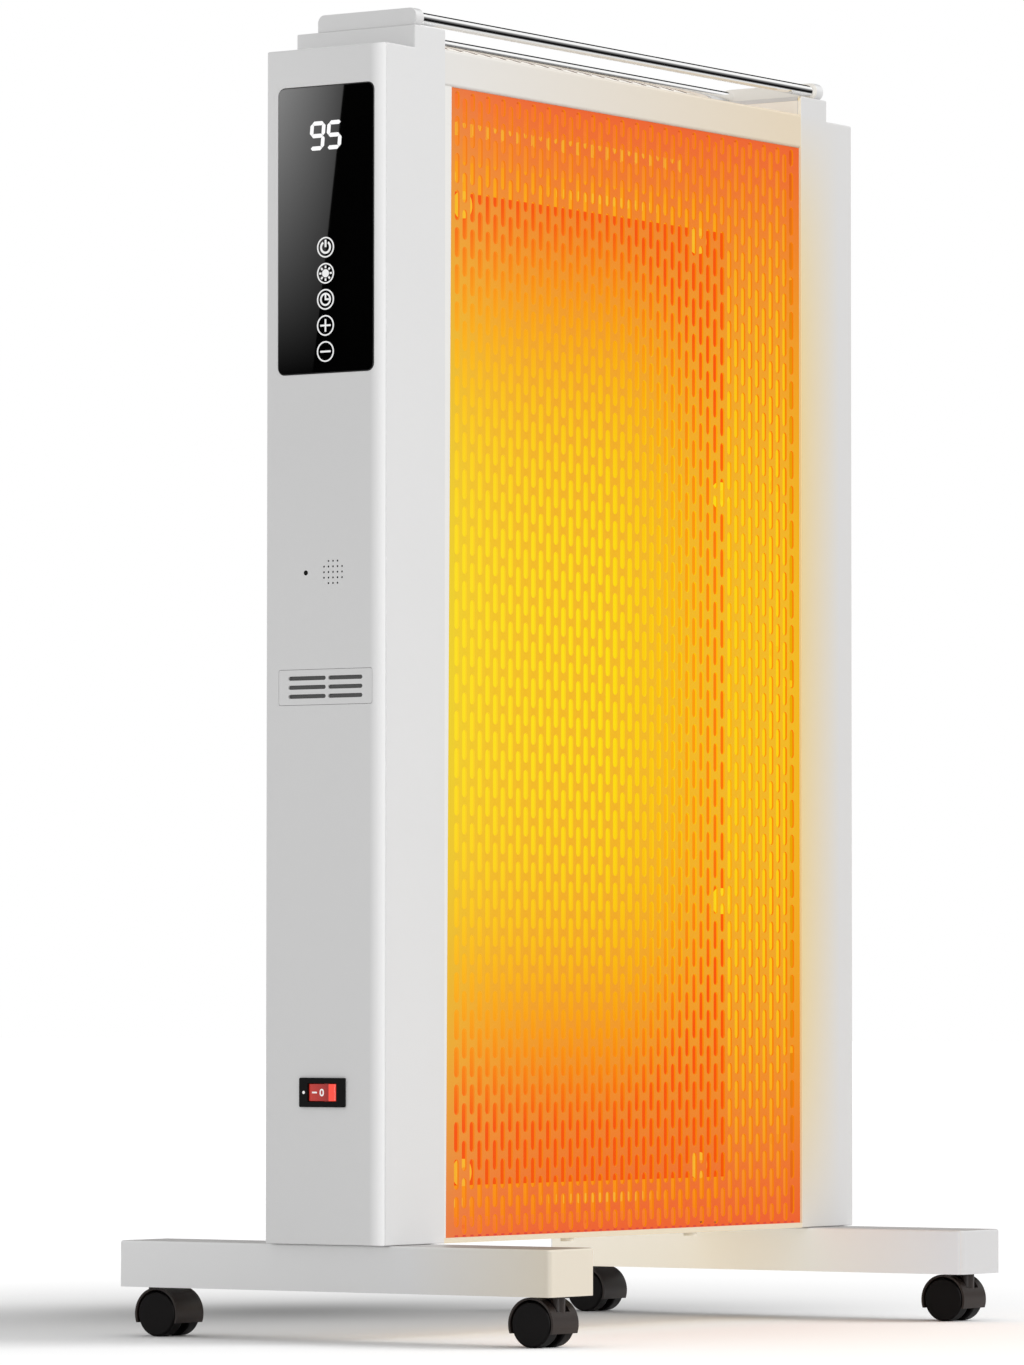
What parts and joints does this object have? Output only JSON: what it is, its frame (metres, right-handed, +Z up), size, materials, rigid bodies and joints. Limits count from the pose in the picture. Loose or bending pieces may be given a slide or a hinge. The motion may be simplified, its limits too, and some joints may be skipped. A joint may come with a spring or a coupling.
{
  "type": "mica panel space heater",
  "caption": "Tall free-standing mica panel heater between two columns, with slotted front grille, chrome rod handle, glass touch display and foot bars on twin-wheel casters.",
  "frame": {"origin": "on the floor under the middle of the heater", "axes": "+X to the right seen from the front with the control column on the -X side, +Y to the back, +Z up"},
  "size_m": [0.4619, 0.277, 0.6997],
  "materials": {
    "moulding_white": "satin",
    "sheet_white": "satin",
    "grille_glow": "satin, lit by the element",
    "bare_steel": "satin",
    "handle_chrome": "polished",
    "mica_glow": "matte, glowing",
    "black_glass": "glossy black glass",
    "mark_white": "printed",
    "black_plastic": "matte",
    "caster_black": "satin",
    "rocker_red": "glossy",
    "board_green": "satin",
    "winding_yellow": "matte",
    "relay_blue": "matte",
    "sink_aluminium": "matte",
    "terminal_ivory": "matte",
    "lead_brown": "matte",
    "cable_sleeve": "matte"
  },
  "bodies": {
    "heater": {"control_column_shell": "moulding_white", "plain_column_shell": "moulding_white", "control_inner_panel": "sheet_white", "plain_inner_panel": "sheet_white", "front_top_rail": "sheet_white", "rear_top_rail": "sheet_white", "top_outlet_grille": "sheet_white", "bottom_pan": "sheet_white", "case_screws": "bare_steel", "front_grille": "grille_glow", "grille_trim_strip": "sheet_white", "rear_panel": "sheet_white", "mica_sheet_front": "mica_glow", "mica_sheet_rear": "mica_glow", "heating_ribbon": "bare_steel", "element_frame": "bare_steel", "element_washers": "mica_glow", "element_screws": "bare_steel", "element_brackets": "bare_steel", "overheat_thermostat": "black_plastic", "element_leads": "cable_sleeve", "wire_grommet": "black_plastic", "handle_bracket_left": "moulding_white", "handle_bracket_right": "moulding_white", "handle_rod_front": "handle_chrome", "handle_rod_rear": "handle_chrome", "handle_screws": "bare_steel", "display_glass": "black_glass", "display_marks": "mark_white", "digit_module": "black_plastic", "display_board": "board_green", "touch_springs": "bare_steel", "sounder": "black_plastic", "receiver_lens": "black_plastic", "vent_insert": "moulding_white", "switch_frame": "black_plastic", "power_board": "board_green", "transformer": "winding_yellow", "power_relays": "relay_blue", "heat_sink": "sink_aluminium", "terminal_block": "terminal_ivory", "cord_gland": "black_plastic", "tip_over_switch": "black_plastic", "inner_wiring": "lead_brown", "left_foot_bar": "moulding_white", "right_foot_bar": "moulding_white", "caster_sockets": "black_plastic"},
    "rocker": {"switch_rocker": "rocker_red"},
    "caster_front_left": {"caster_hood_front_left": "caster_black", "caster_stem_front_left": "bare_steel"},
    "wheels_front_left": {"caster_wheels_front_left": "caster_black"},
    "caster_front_right": {"caster_hood_front_right": "caster_black", "caster_stem_front_right": "bare_steel"},
    "wheels_front_right": {"caster_wheels_front_right": "caster_black"},
    "caster_rear_left": {"caster_hood_rear_left": "caster_black", "caster_stem_rear_left": "bare_steel"},
    "wheels_rear_left": {"caster_wheels_rear_left": "caster_black"},
    "caster_rear_right": {"caster_hood_rear_right": "caster_black", "caster_stem_rear_right": "bare_steel"},
    "wheels_rear_right": {"caster_wheels_rear_right": "caster_black"}
  },
  "joints": [
    {"name": "switch_rocker_tilt", "type": "hinge", "parent": "heater", "child": "rocker", "pos_m": [-0.226, 0.00105, 0.1304], "axis": [0, 0, 1], "range_deg": [0, 12]},
    {"name": "swivel_front_left", "type": "hinge", "parent": "heater", "child": "caster_front_left", "pos_m": [-0.2039, -0.129, 0.0265], "axis": [0, 0, 1], "continuous": true},
    {"name": "roll_front_left", "type": "hinge", "parent": "caster_front_left", "child": "wheels_front_left", "pos_m": [-0.2039, -0.1205, 0.012], "axis": [1, 0, 0], "continuous": true},
    {"name": "swivel_front_right", "type": "hinge", "parent": "heater", "child": "caster_front_right", "pos_m": [0.2039, -0.129, 0.0265], "axis": [0, 0, 1], "continuous": true},
    {"name": "roll_front_right", "type": "hinge", "parent": "caster_front_right", "child": "wheels_front_right", "pos_m": [0.2039, -0.1205, 0.012], "axis": [1, 0, 0], "continuous": true},
    {"name": "swivel_rear_left", "type": "hinge", "parent": "heater", "child": "caster_rear_left", "pos_m": [-0.2039, 0.129, 0.0265], "axis": [0, 0, 1], "continuous": true},
    {"name": "roll_rear_left", "type": "hinge", "parent": "caster_rear_left", "child": "wheels_rear_left", "pos_m": [-0.2039, 0.1205, 0.012], "axis": [1, 0, 0], "continuous": true},
    {"name": "swivel_rear_right", "type": "hinge", "parent": "heater", "child": "caster_rear_right", "pos_m": [0.2039, 0.129, 0.0265], "axis": [0, 0, 1], "continuous": true},
    {"name": "roll_rear_right", "type": "hinge", "parent": "caster_rear_right", "child": "wheels_rear_right", "pos_m": [0.2039, 0.1205, 0.012], "axis": [1, 0, 0], "continuous": true}
  ]
}
